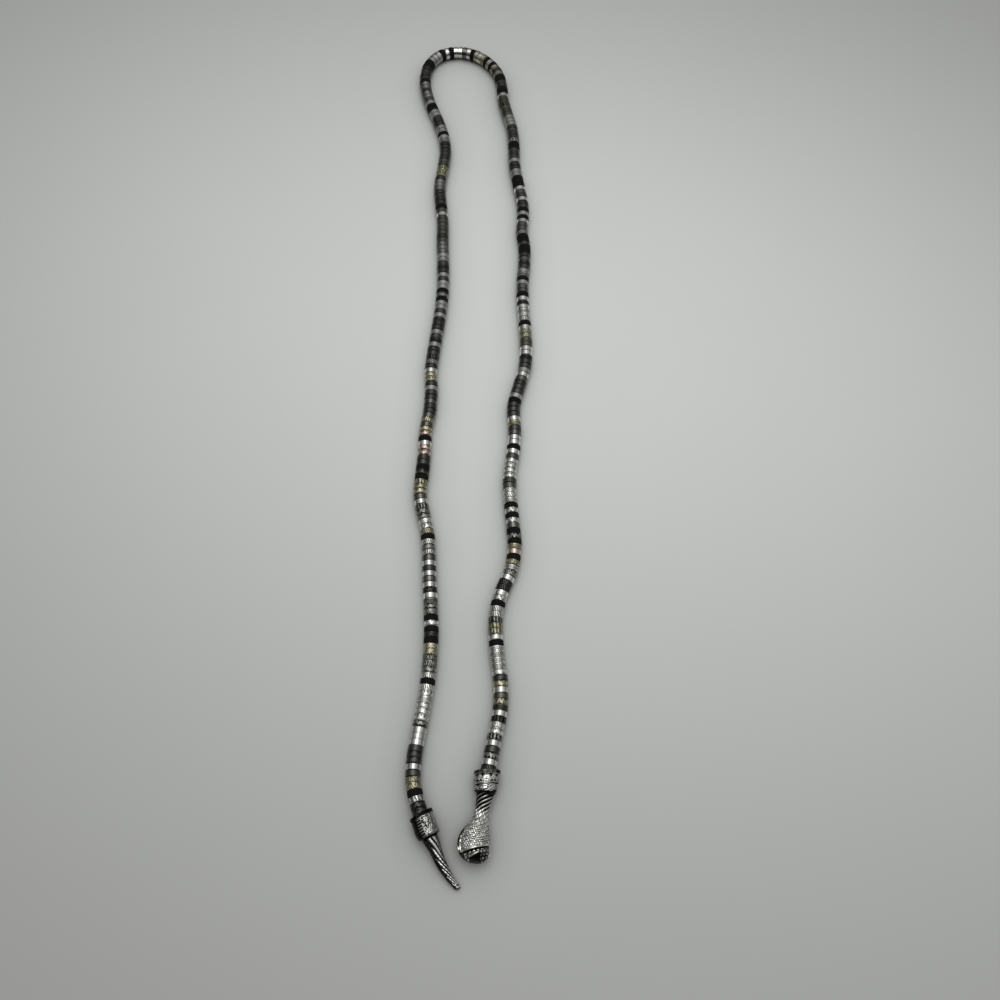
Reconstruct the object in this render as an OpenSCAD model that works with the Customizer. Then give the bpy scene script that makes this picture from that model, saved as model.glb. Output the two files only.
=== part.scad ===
// A posable snake necklace: one long tube of short jointed metal rings that ends in a cast
// snake's head and a cast snake's tail. It lies flat in a long narrow loop, ends towards -Y.

/* [Ring tube] */
// Outside diameter of the ring tube
tube_d = 6; // [5.6:0.1:6.2]
// Length of one ring
ring_len = 2.15; // [1.8:0.05:2.2]
// Spacing of the rings where the tube is straight
ring_pitch = 2.4; // [2.35:0.05:2.6]
// Bevel round both ends of a ring
ring_bevel = 0.15; // [0.05:0.05:0.3]
// Diameter of the collar that shows in each joint
collar_d = 5.1; // [4.4:0.1:5.2]
// Rings joined in one run along the thread
rings_per_run = 10; // [8:1:12]

/* [Head] */
// Outside diameter of the head cup at its rim
head_cup_d = 10; // [9.6:0.1:10.4]
// Length of the head cup
head_cup_len = 8.4; // [7.6:0.1:9]
// Widest diameter of the skull
skull_d = 11.6; // [10.8:0.1:12.2]
// Narrowest diameter of the neck behind the skull
neck_d = 5.3; // [4.8:0.1:5.8]
// Diameter of an eye
eye_d = 1.9; // [1.4:0.1:2.4]
// Roll of the head about its own length, toward its left
head_roll = 8; // [0:1:20]

/* [Tail] */
// Outside diameter of the tail cup at its rim
tail_cup_d = 9.3; // [9.2:0.1:9.8]
// Length of the tail cup
tail_cup_len = 8.8; // [8:0.1:9.4]
// Length of the taper from the cup to its blunt tip
taper_len = 21; // [19:0.5:22]
// Diameter of the blunt tip
tip_d = 1.9; // [1.6:0.1:2.4]

/* [Cups] */
// Diameter of the flared mouth that a ring enters
mouth_d = 8; // [7.6:0.1:8]
// Diameter of the seat that holds the last ring
seat_d = 6.5; // [6.4:0.1:6.8]
// Depth of the seat's floor below the rim
seat_depth = 3.6; // [3.4:0.1:4]
// Length of the flared part of the mouth
flare_len = 1.6; // [1.2:0.1:1.8]
// Length of the lip round the rim
lip_len = 1.1; // [0.8:0.1:1.3]

/* [Hidden] */
tube_r = tube_d / 2;
joint_gap = 0.05; // least room left on the inner side of a bend
run_reach = 0.5; // how far a collar is buried in the ring on each side of a joint
lift_len = 28; // length over which the tube rises off the surface to meet a cup
cup_grip = 3.4; // length of tube held level inside a cup
samples = 8; // route samples between two points
waist_share = 0.56; // place of the groove between a cup's two bands, as a share of its length
head_cup_slim = 0.7; // how much less than the rim's radius the head cup's far end has
tail_cup_slim = 0.2; // the same for the tail cup, which is nearly straight
cup_bevel = 1; // length of the slope round a cup's far end
root_len = 1.5; // length of a casting's taper or neck that is sunk in its cup
tail_root_r = 2.85; // radius of the taper where it leaves the cup
neck_root_r = 3.4; // radius of the neck where it leaves the cup
mouth_slit = 0.5; // width of the groove of the closed mouth
slit_depth = 0.6; // depth of that groove
snout_power = 2.5; // 2 makes the snout round, and more makes it blunter
eye_side = 5.25; // an eye's distance from the head's middle plane
eye_up = 0.55; // an eye's height over the head's axis
eye_ahead = 1.4; // an eye's distance past the skull's widest place
$fn = 48;

// Centreline of the tube seen from above, from the tail's seat round to the head's seat.
route = [
    [-14.1, -196], [-16.6, -189.5], [-18.7, -181], [-18.5, -171], [-16.9, -160], [-15.2, -149],
    [-14, -137], [-13.6, -124], [-14.2, -111], [-15.2, -98], [-15.8, -86], [-17, -76],
    [-19.4, -66], [-20.5, -58], [-19.8, -48], [-19.2, -37], [-19.1, -28], [-17.6, -17],
    [-17.2, -6], [-17.7, 4], [-16.8, 15], [-15.3, 28], [-14, 41], [-13.4, 54],
    [-13.7, 68], [-14.3, 81], [-14.6, 94], [-16, 107], [-16.6, 118], [-15.2, 131],
    [-14.4, 142], [-15.8, 153], [-19, 164], [-22.8, 174.5], [-25.7, 185], [-26.8, 196],
    [-24.8, 206], [-18.8, 213.5], [-9.5, 216.3], [0.2, 213.8], [8, 207.5], [13.3, 199],
    [15.4, 189], [16.2, 179], [18.4, 168.5], [20.8, 158], [21.7, 146], [22, 132],
    [24, 118], [25.9, 106], [26, 96], [25.4, 87], [26.5, 78], [26.4, 68],
    [25.5, 56], [25.4, 43], [26.2, 30], [26.7, 17], [25.8, 5.5], [23, -5],
    [20.6, -15.5], [21, -27], [20.3, -38], [18.9, -48], [18.7, -59], [19.8, -72],
    [20.6, -84], [19, -95], [14.8, -105.5], [12.6, -117], [13.2, -131], [14.7, -144],
    [14.3, -155], [12.3, -165], [10.8, -172.5], [9.3, -180.5]
];

tail_rim = [-15.2, -193.2]; // centre of the tail cup's rim
tail_heading = -68; // the way the tail cup points, from +X
taper_heading = -58; // the way the taper points
head_rim = [9.6, -177.5]; // centre of the head cup's rim
head_heading = -96; // the way the head cup points
skull_heading = -101; // the way the neck and skull point
skull_at = 19.2; // skull's widest place, measured from the cup's end

// Catmull-Rom spline through the route, with its end spans run straight.
function padded(p) = concat([2 * p[0] - p[1]], p, [2 * p[len(p) - 1] - p[len(p) - 2]]);
function blend(a, b, c, d, t) =
    (2 * b + (c - a) * t + (2 * a - 5 * b + 4 * c - d) * t * t + (3 * b - a - 3 * c + d) * t * t * t) / 2;
function smooth(p, n) =
    let (q = padded(p))
    concat([for (i = [1:len(q) - 3], k = [0:n - 1]) blend(q[i - 1], q[i], q[i + 1], q[i + 2], k / n)],
        [p[len(p) - 1]]);
function running(steps) =
    [for (i = 0, s = 0; i <= len(steps); s = s + (i < len(steps) ? steps[i] : 0), i = i + 1) s];

line = smooth(route, samples);
spans = len(line) - 1;
line_s = running([for (i = [0:spans - 1]) norm(line[i + 1] - line[i])]);
line_len = line_s[spans];
x_at = [for (i = [0:spans]) [line_s[i], line[i][0]]];
y_at = [for (i = [0:spans]) [line_s[i], line[i][1]]];

// The tube's axis rises from tube_r to a cup's axis over lift_len at each end.
function ease(t) = let (u = min(max(t, 0), 1)) u * u * (3 - 2 * u);
function rise(s, cup_d) = (cup_d / 2 - tube_r) * (1 - ease((s - cup_grip) / lift_len));
function axis_z(s) = tube_r + rise(s, tail_cup_d) + rise(line_len - s, head_cup_d);
function axis_at(s) = [lookup(s, x_at), lookup(s, y_at), axis_z(s)];

// A ring's spacing grows in a bend, so that two rings never meet on its inner side.
function heading(s) = let (d = axis_at(s + ring_len / 2) - axis_at(s - ring_len / 2)) atan2(d[1], d[0]);
function turned(a) = a - 360 * round(a / 360);
function bend(s) = abs(turned(heading(s + ring_len) - heading(s - ring_len))) * PI / 180 / (2 * ring_len);
function pitch(s) = max(ring_pitch, (ring_len + joint_gap) / (1 - tube_r * bend(s)));

step = ring_pitch / 2;
steps = floor(line_len / step);
count_at = running([for (i = [0:steps - 1]) step / pitch((i + 0.5) * step)]);
ring_count = floor(count_at[steps]);
s_at = [for (i = [0:steps]) [count_at[i] * ring_count / count_at[steps], i * line_len / steps]];
ring_s = [for (i = [0:ring_count - 1]) lookup(i + 0.5, s_at)];

run_count = ceil(ring_count / rings_per_run);
function two_digits(n) = n < 10 ? str("0", n) : str(n);
function run_name(i) = str("ring_run_", two_digits(i));

// Turns +Z to the direction v.
module aim(v) {
    rotate([0, acos(v[2] / norm(v)), atan2(v[1], v[0])]) children();
}

module ring(s) {
    h = ring_len / 2;
    c = ring_bevel;
    translate(axis_at(s)) aim(axis_at(s + h) - axis_at(s - h))
        rotate_extrude()
            polygon([[0, -h], [tube_r - c, -h], [tube_r, c - h], [tube_r, h - c], [tube_r - c, h], [0, h]]);
}

// The collar in the joint between the rings at s0 and s1.
module collar(s0, s1) {
    a = axis_at(s0);
    b = axis_at(s1);
    h = norm(b - a) - ring_len + 2 * run_reach;
    translate((a + b) / 2) aim(b - a) cylinder(d = collar_d, h = h, center = true);
}

module ring_run(n) {
    first = (n - 1) * rings_per_run;
    last = min(n * rings_per_run, ring_count) - 1;
    color("#8a8c8b") union() {
        for (i = [first:last]) ring(ring_s[i]);
        if (last > first) for (i = [first:last - 1]) collar(ring_s[i], ring_s[i + 1]);
    }
}

// A cast cup, rim at the origin, pointing along +Z: a lip, two swelling bands and a sunk mouth.
// The outside's rows are radius and distance from the rim.
module cup(d, len, slim, end_r) {
    r = d / 2;
    waist = len * waist_share;
    outside = [
        [r, 0], [r, lip_len], [r - 0.4, lip_len + 0.3], [r - 0.2, lip_len + 1.2], [r - 0.2, waist - 0.7],
        [r - slim, waist], [r - slim + 0.1, waist + 0.6], [r - slim, len - cup_bevel], [end_r, len]
    ];
    step_len = 0.7; // slope from the flare down to the seat
    inside = [
        [0, len], [0, seat_depth], [seat_d / 2, seat_depth], [seat_d / 2, flare_len + step_len],
        [mouth_d / 2, flare_len], [mouth_d / 2, 0]
    ];
    rotate_extrude() polygon(concat(outside, inside));
}

module snake_tail() {
    z = tail_cup_d / 2;
    run = tail_cup_len;
    base = [tail_rim[0] + run * cos(tail_heading), tail_rim[1] + run * sin(tail_heading), z];
    drop = (z - tip_d / 2) / taper_len; // the tip comes down to the surface
    flat = sqrt(1 - drop * drop);
    way = [flat * cos(taper_heading), flat * sin(taper_heading), -drop];
    tip_r = tip_d / 2;
    // Rows: radius, distance from the cup's end
    flank = [[tail_root_r, 0.5], [2.5, 3], [2.1, 6], [1.65, 10], [1.35, 14]];
    cap = [
        [tip_r, taper_len - 1.4], [tip_r + 0.15, taper_len - 1.1], [tip_r, taper_len - 0.3],
        [tip_r - 0.3, taper_len], [0, taper_len]
    ];
    color("#a9abaa") union() {
        translate([tail_rim[0], tail_rim[1], z]) aim([cos(tail_heading), sin(tail_heading), 0])
            cup(tail_cup_d, run, tail_cup_slim, tail_root_r - 0.45);
        translate(base) aim(way)
            rotate_extrude() polygon(concat([[0, -root_len], [tail_root_r, -root_len]], flank, cap));
    }
}

// The neck and skull as one smooth turned form along +Z, from the cup's end to the snout.
module skull_form() {
    r = skull_d / 2;
    neck_r = neck_d / 2;
    // Rows: radius, distance from the cup's end
    flank = [
        [neck_root_r, 0], [3.05, 2], [neck_r + 0.1, 4.5], [neck_r, 6.4], [neck_r + 0.4, 9], [r * 0.66, 11.5],
        [r * 0.84, 14], [r * 0.96, 16.5], [r, skull_at]
    ];
    share = 2 / snout_power;
    snout = [for (a = [10:10:90]) [r * pow(cos(a), share), skull_at + r * pow(sin(a), share)]];
    rotate_extrude()
        polygon(concat([[0, -root_len], [neck_root_r, -root_len]], smooth(flank, 3), snout));
}

// The groove of the closed mouth, round the front of the snout.
module mouth_groove() {
    r = skull_d / 2;
    over = r + 2; // past the skull's surface
    below = 1.2; // the mouth's distance below the head's axis
    translate([-below, 0, skull_at - mouth_slit]) intersection() {
        rotate([0, 90, 0]) difference() {
            cylinder(r = over, h = mouth_slit, center = true);
            cylinder(r = r - slit_depth, h = 2 * mouth_slit, center = true);
        }
        translate([-mouth_slit, -over, 0]) cube([2 * mouth_slit, 2 * over, over]);
    }
}

module snake_head() {
    cup_z = head_cup_d / 2;
    skull_z = skull_d / 2;
    run = head_cup_len;
    base = [head_rim[0] + run * cos(head_heading), head_rim[1] + run * sin(head_heading), cup_z];
    climb = (skull_z - cup_z) / skull_at; // the wider skull rests on the surface too
    flat = sqrt(1 - climb * climb);
    way = [flat * cos(skull_heading), flat * sin(skull_heading), climb];
    color("#b4b6b5") union() {
        translate([head_rim[0], head_rim[1], cup_z]) aim([cos(head_heading), sin(head_heading), 0])
            cup(head_cup_d, run, head_cup_slim, neck_root_r - 0.5);
        translate(base) aim(way) rotate([0, 0, 180 - head_roll]) {
            difference() {
                skull_form();
                mouth_groove();
            }
            for (side = [-1, 1])
                translate([eye_up, side * eye_side, skull_at + eye_ahead]) sphere(d = eye_d);
        }
    }
}

snake_head();
snake_tail();
for (i = [1:run_count]) ring_run(i);
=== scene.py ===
import bpy
import numpy as np
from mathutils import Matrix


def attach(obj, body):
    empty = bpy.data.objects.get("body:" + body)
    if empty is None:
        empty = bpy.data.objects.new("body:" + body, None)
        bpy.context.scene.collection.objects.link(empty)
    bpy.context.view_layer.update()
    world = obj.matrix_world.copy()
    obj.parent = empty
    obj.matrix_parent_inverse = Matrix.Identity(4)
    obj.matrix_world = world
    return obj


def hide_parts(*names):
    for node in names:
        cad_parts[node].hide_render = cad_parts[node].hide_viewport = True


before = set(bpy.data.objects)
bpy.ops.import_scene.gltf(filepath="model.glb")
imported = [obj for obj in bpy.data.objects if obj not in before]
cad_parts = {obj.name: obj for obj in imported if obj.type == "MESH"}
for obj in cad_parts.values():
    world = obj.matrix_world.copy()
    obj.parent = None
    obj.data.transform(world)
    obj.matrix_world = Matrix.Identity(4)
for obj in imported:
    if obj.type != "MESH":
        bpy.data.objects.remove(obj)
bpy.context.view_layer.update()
mm = 0.001  # all sizes below are in millimetres, and meshes are made in metres


# Small helpers

def toLinear(hexColour):
    parts = [int(hexColour[i:i + 2], 16) / 255 for i in (1, 3, 5)]
    return [c / 12.92 if c <= 0.04045 else ((c + 0.055) / 1.055) ** 2.4 for c in parts] + [1.0]


def addNode(tree, kind, settings=None, inputs=None):
    # settings are the node's own, inputs are values or links, by socket name or number
    node = tree.nodes.new(kind)
    for key, value in (settings or {}).items():
        setattr(node, key, value)
    for key, value in (inputs or {}).items():
        if isinstance(value, bpy.types.NodeSocket):
            tree.links.new(value, node.inputs[key])
        else:
            node.inputs[key].default_value = value
    return node


def newMaterial(name):
    material = bpy.data.materials.new(name)
    material.use_nodes = True
    material.node_tree.nodes.clear()
    return material


def smoothStep(low, high, x):
    t = np.clip((x - low) / (high - low), 0, 1)
    return t * t * (3 - 2 * t)


def mound(x, half, slope):
    # 1 within half of zero, falling to 0 over slope
    return 1 - smoothStep(half, half + slope, abs(x))


def gridFaces(rows, columns, firstVertex=0, closedRows=False):
    # quads between rows of a tube, wound so that they face outwards
    lastRow = rows if closedRows else rows - 1
    j, i = np.meshgrid(np.arange(lastRow), np.arange(columns), indexing="ij")
    up, beside = (j + 1) % rows, (i + 1) % columns
    corners = [j * columns + i, up * columns + i, up * columns + beside, j * columns + beside]
    return np.stack([c.ravel() for c in corners], 1) + firstVertex


def gridMap(rows, columns, low, high, closedRows=False):
    # the same quads on a flat map, between heights low and high
    lastRow = rows if closedRows else rows - 1
    j, i = np.meshgrid(np.arange(lastRow), np.arange(columns), indexing="ij")
    corners = [(i, j), (i, j + 1), (i + 1, j + 1), (i + 1, j)]
    u = np.stack([c[0].ravel() / columns for c in corners], 1)
    v = np.stack([c[1].ravel() / lastRow for c in corners], 1)
    return np.stack([u, low + (high - low) * v], 2)


def makeMesh(name, places, faces, flatMap, attributes, sharpAngle=38):
    # places in mm. Faces are quads, and triangles have their last corner set to -1
    mesh = bpy.data.meshes.new(name)
    quads = faces[:, 3] >= 0
    counts = np.where(quads, 4, 3)
    keep = np.ones(faces.shape, bool)
    keep[:, 3] = quads
    loops = faces[keep]
    mesh.vertices.add(len(places))
    mesh.vertices.foreach_set("co", (places * mm).astype(np.float32).ravel())
    mesh.loops.add(len(loops))
    mesh.loops.foreach_set("vertex_index", loops.astype(np.int32))
    mesh.polygons.add(len(faces))
    mesh.polygons.foreach_set("loop_start", np.concatenate([[0], np.cumsum(counts)[:-1]]).astype(np.int32))
    mesh.update(calc_edges=True)
    layer = mesh.uv_layers.new(name="OFBake")
    layer.uv.foreach_set("vector", flatMap[keep].astype(np.float32).ravel())
    for key, values in attributes.items():
        mesh.attributes.new(key, "FLOAT", "POINT").data.foreach_set("value", values.astype(np.float32))
    mesh.polygons.foreach_set("use_smooth", np.ones(len(faces), bool))
    mesh.set_sharp_from_angle(angle=np.radians(sharpAngle))
    piece = bpy.data.objects.new(name, mesh)
    bpy.context.scene.collection.objects.link(piece)
    return piece


# Camera, floor and light

camera = dict(place=(14.4, -240.4, 376), tilt=25.54, lens=34.2)  # tilt from straight down


def addCamera(c):
    lens = bpy.data.cameras.new("camera")
    lens.lens = c["lens"]
    holder = bpy.data.objects.new("camera", lens)
    holder.location = [x * mm for x in c["place"]]
    holder.rotation_euler = (np.radians(c["tilt"]), 0, 0)
    lens.clip_start, lens.clip_end = 0.01, 20
    bpy.context.scene.collection.objects.link(holder)
    bpy.context.scene.camera = holder


# a painted pool of light: the board is brightest at peak, and its tone falls off over about reach, which is
# turned by slant, to the painted shade of edge
floor = dict(size=5000, colour="#f5f8f3", shade="#f2f5f0", edge="#a4a39e", grain=60, roughness=0.62,
             nearby=14, shadow=0.6, peak=(37, 39), reach=(634, 451), slant=-15, steep=3.0)


def addFloor(f):
    # matt laminate board, pale grey: a very soft cloudiness, and a painted pool of light that falls off to
    # painted shade at its edges
    half = f["size"] / 2
    places = np.array([(-half, -half, 0), (half, -half, 0), (half, half, 0), (-half, half, 0)], float)
    corners = np.array([[(0, 0), (1, 0), (1, 1), (0, 1)]], float)
    board = makeMesh("floor", places, np.array([[0, 1, 2, 3]]), corners, {})
    material = newMaterial("mattLaminateFloor")
    tree = material.node_tree
    spot = addNode(tree, "ShaderNodeTexCoord").outputs["Object"]
    clouds = addNode(tree, "ShaderNodeTexNoise", {},
                     {"Vector": spot, "Scale": 1000 / f["grain"], "Detail": 4})
    tint = addNode(tree, "ShaderNodeMix", {"data_type": "RGBA"},
                   {0: clouds.outputs["Fac"], 6: toLinear(f["shade"]), 7: toLinear(f["colour"])})
    # painted pool of light and painted shade: the colour fades from the board's own tint to edge away from
    # peak
    fromPeak = addNode(tree, "ShaderNodeMapping", {"vector_type": "TEXTURE"},
                       {"Vector": spot, "Location": [x * mm for x in f["peak"]] + [0],
                        "Rotation": (0, 0, np.radians(f["slant"])),
                        "Scale": [x * mm for x in f["reach"]] + [1]})
    squared = addNode(tree, "ShaderNodeVectorMath", {"operation": "DOT_PRODUCT"},
                      {0: fromPeak.outputs[0], 1: fromPeak.outputs[0]})
    wider = addNode(tree, "ShaderNodeMath", {"operation": "ADD"}, {0: squared.outputs["Value"], 1: 1.0})
    share = addNode(tree, "ShaderNodeMath", {"operation": "POWER"}, {0: wider.outputs[0], 1: -f["steep"]})
    paintedLightPool = addNode(tree, "ShaderNodeMix", {"data_type": "RGBA"},
                    {0: share.outputs[0], 6: toLinear(f["edge"]), 7: tint.outputs[2]})
    # what lies within a few millimetres of the board darkens its colour a little more: a painted contact
    # shadow
    nearby = addNode(tree, "ShaderNodeAmbientOcclusion", {"samples": 12}, {"Distance": f["nearby"] * mm})
    shaded = addNode(tree, "ShaderNodeMix", {"data_type": "RGBA", "blend_type": "MULTIPLY"},
                     {0: f["shadow"], 6: paintedLightPool.outputs[2], 7: nearby.outputs["Color"]})
    surface = addNode(tree, "ShaderNodeBsdfPrincipled", {},
                      {"Base Color": shaded.outputs[2], "Roughness": f["roughness"]})
    addNode(tree, "ShaderNodeOutputMaterial", {}, {"Surface": surface.outputs[0]})
    board.data.materials.append(material)


light = dict(place=(20, 75, 950), width=600, depth=1150, radiance=1.23, colour="#fffefb")

# the room's radiance by the sine of the height above the horizon
room = dict(heights=(0, 0.26, 0.57, 0.79, 0.94, 1), radiance=(0.11, 0.16, 0.32, 0.56, 0.82, 0.9),
            sideways=0.3, dark=0.25, darkFrom=-0.15, darkTo=-0.75, tint="#f9fbff")


def addLight(box):
    # one large softbox over the floor
    lamp = bpy.data.lights.new("softbox", "AREA")
    lamp.shape = "RECTANGLE"
    lamp.size, lamp.size_y = box["width"] * mm, box["depth"] * mm
    lamp.energy = box["radiance"] * np.pi * lamp.size * lamp.size_y
    lamp.color = toLinear(box["colour"])[:3]
    holder = bpy.data.objects.new("softbox", lamp)
    holder.location = [x * mm for x in box["place"]]
    bpy.context.scene.collection.objects.link(holder)


def addRoom(r):
    # a soft pale dome: bright overhead, dim walls, darker on the side that the camera stands on
    world = bpy.data.worlds.new("paleRoom")
    world.use_nodes = True
    bpy.context.scene.world = world
    tree = world.node_tree
    tree.nodes.clear()
    way = addNode(tree, "ShaderNodeSeparateXYZ", {},
                  {0: addNode(tree, "ShaderNodeTexCoord").outputs["Generated"]})
    dome = addNode(tree, "ShaderNodeValToRGB", {}, {"Fac": way.outputs["Z"]})
    stops = dome.color_ramp.elements
    while len(stops) < len(r["heights"]):
        stops.new(1)
    for stop, height, radiance in zip(stops, r["heights"], r["radiance"]):
        stop.position = height
        stop.color = [radiance * c for c in toLinear(r["tint"])[:3]] + [1]
    dome.color_ramp.interpolation = "B_SPLINE"
    near = addNode(tree, "ShaderNodeMapRange", {"interpolation_type": "SMOOTHSTEP"},
                   {"Value": way.outputs["Y"], "From Min": r["darkFrom"], "From Max": r["darkTo"],
                    "To Min": 1, "To Max": r["dark"]})
    tilt = addNode(tree, "ShaderNodeMath", {"operation": "MULTIPLY_ADD"},
                   {0: way.outputs["X"], 1: r["sideways"], 2: 1.0})
    strength = addNode(tree, "ShaderNodeMath", {"operation": "MULTIPLY"},
                       {0: near.outputs[0], 1: tilt.outputs[0]})
    sky = addNode(tree, "ShaderNodeBackground", {},
                  {"Color": dome.outputs[0], "Strength": strength.outputs[0]})
    addNode(tree, "ShaderNodeOutputWorld", {}, {"Surface": sky.outputs[0]})


addCamera(camera)
addFloor(floor)
addLight(light)
addRoom(room)
bpy.context.scene.view_settings.view_transform = "Standard"
print("camera, floor and light are set")


# The tube's route: x and y of its centreline, from the tail's seat round to the head's

routePoints = [
    (-14.1, -196), (-16.6, -189.5), (-18.7, -181), (-18.5, -171), (-16.9, -160), (-15.2, -149),
    (-14, -137), (-13.6, -124), (-14.2, -111), (-15.2, -98), (-15.8, -86), (-17, -76),
    (-19.4, -66), (-20.5, -58), (-19.8, -48), (-19.2, -37), (-19.1, -28), (-17.6, -17),
    (-17.2, -6), (-17.7, 4), (-16.8, 15), (-15.3, 28), (-14, 41), (-13.4, 54),
    (-13.7, 68), (-14.3, 81), (-14.6, 94), (-16, 107), (-16.6, 118), (-15.2, 131),
    (-14.4, 142), (-15.8, 153), (-19, 164), (-22.8, 174.5), (-25.7, 185), (-26.8, 196),
    (-24.8, 206), (-18.8, 213.5), (-9.5, 216.3), (0.2, 213.8), (8, 207.5), (13.3, 199),
    (15.4, 189), (16.2, 179), (18.4, 168.5), (20.8, 158), (21.7, 146), (22, 132),
    (24, 118), (25.9, 106), (26, 96), (25.4, 87), (26.5, 78), (26.4, 68),
    (25.5, 56), (25.4, 43), (26.2, 30), (26.7, 17), (25.8, 5.5), (23, -5),
    (20.6, -15.5), (21, -27), (20.3, -38), (18.9, -48), (18.7, -59), (19.8, -72),
    (20.6, -84), (19, -95), (14.8, -105.5), (12.6, -117), (13.2, -131), (14.7, -144),
    (14.3, -155), (12.3, -165), (10.8, -172.5), (9.3, -180.5),
]

tube = dict(
    radius=3.0, ringLength=2.15, ringPitch=2.4, jointGap=0.05, bore=2.6, ringsPerRun=10,
    liftLength=28, cupGrip=3.4, samples=8, tailCupRadius=4.65, headCupRadius=5.0,
)


def spline(points, samples):
    # Catmull-Rom through the points, with straight end spans
    p = np.array(points, float)
    q = np.vstack([2 * p[0] - p[1], p, 2 * p[-1] - p[-2]])
    t = np.arange(samples)[:, None] / samples
    spans = []
    for a, b, c, d in zip(q, q[1:], q[2:], q[3:]):
        spans.append((2 * b + (c - a) * t + (2 * a - 5 * b + 4 * c - d) * t**2
                      + (3 * b - a - 3 * c + d) * t**3) / 2)
    return np.vstack(spans + [p[-1:]])


routeLine = spline(routePoints, tube["samples"])
routeAt = np.concatenate([[0], np.cumsum(np.linalg.norm(np.diff(routeLine, axis=0), axis=1))])
routeLength = routeAt[-1]


def axisAt(s):
    # the axis rises from the tube's own radius to a cup's axis near each end
    rises = ((tube["tailCupRadius"], s), (tube["headCupRadius"], routeLength - s))
    z = tube["radius"]
    level, lifted = tube["cupGrip"] + tube["liftLength"], tube["cupGrip"]
    for cupRadius, away in rises:
        z = z + (cupRadius - tube["radius"]) * (1 - smoothStep(lifted, level, away))
    return np.array([np.interp(s, routeAt, routeLine[:, 0]), np.interp(s, routeAt, routeLine[:, 1]), z])


def heading(s):
    half = tube["ringLength"] / 2
    step = axisAt(s + half) - axisAt(s - half)
    return np.arctan2(step[1], step[0])


def bendAt(s):
    turn = heading(s + tube["ringLength"]) - heading(s - tube["ringLength"])
    return abs((turn + np.pi) % (2 * np.pi) - np.pi) / (2 * tube["ringLength"])


def ringPlaces():
    # spacing grows in a bend, so that rings never meet on its inner side
    step = tube["ringPitch"] / 2
    steps = int(routeLength // step)
    tight = tube["ringLength"] + tube["jointGap"]
    bends = [bendAt((i + 0.5) * step) for i in range(steps)]
    pitches = [max(tube["ringPitch"], tight / (1 - tube["radius"] * bend)) for bend in bends]
    counted = np.concatenate([[0], np.cumsum(step / np.array(pitches))])
    ringCount = int(counted[-1])
    where = counted * ringCount / counted[-1]
    return np.interp(np.arange(ringCount) + 0.5, where, np.arange(steps + 1) * routeLength / steps)


ringAt = ringPlaces()
print("the tube is", round(float(routeLength), 1), "mm long and has", len(ringAt), "rings")


# Engraved patterns: strokes in a cell that repeats round a ring or a cup

strokeSpacing = 0.11  # of the points along a stroke


def arc(x, y, width, height, start, end):
    a = np.radians([start, end])
    a = np.linspace(*a, round(abs(a[1] - a[0]) * max(width, height) / strokeSpacing) + 2)
    return np.stack([x + width * np.cos(a), y + height * np.sin(a)], 1)


def stroke(*corners):
    p = np.array(corners, float)
    spans = []
    for a, b in zip(p, p[1:]):
        count = round(np.linalg.norm(b - a) / strokeSpacing) + 2
        spans.append(a + (b - a) * np.linspace(0, 1, count)[:, None])
    return np.vstack(spans)


def strokeHeight(x, y, pattern):
    # 1 on a stroke and 0 off it; x repeats after the pattern's cell
    cell = pattern["cell"]
    points = np.vstack(pattern["strokes"])
    points = np.vstack([points + (shift, 0) for shift in (-cell, 0, cell)])
    away = np.full(x.shape, 9.0)
    inCell = x % cell
    for px, py in points:
        away = np.minimum(away, np.hypot(inCell - px, y - py))
    half = pattern["width"] / 2
    return 1 - smoothStep(half, half + pattern["slope"], away)


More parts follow.
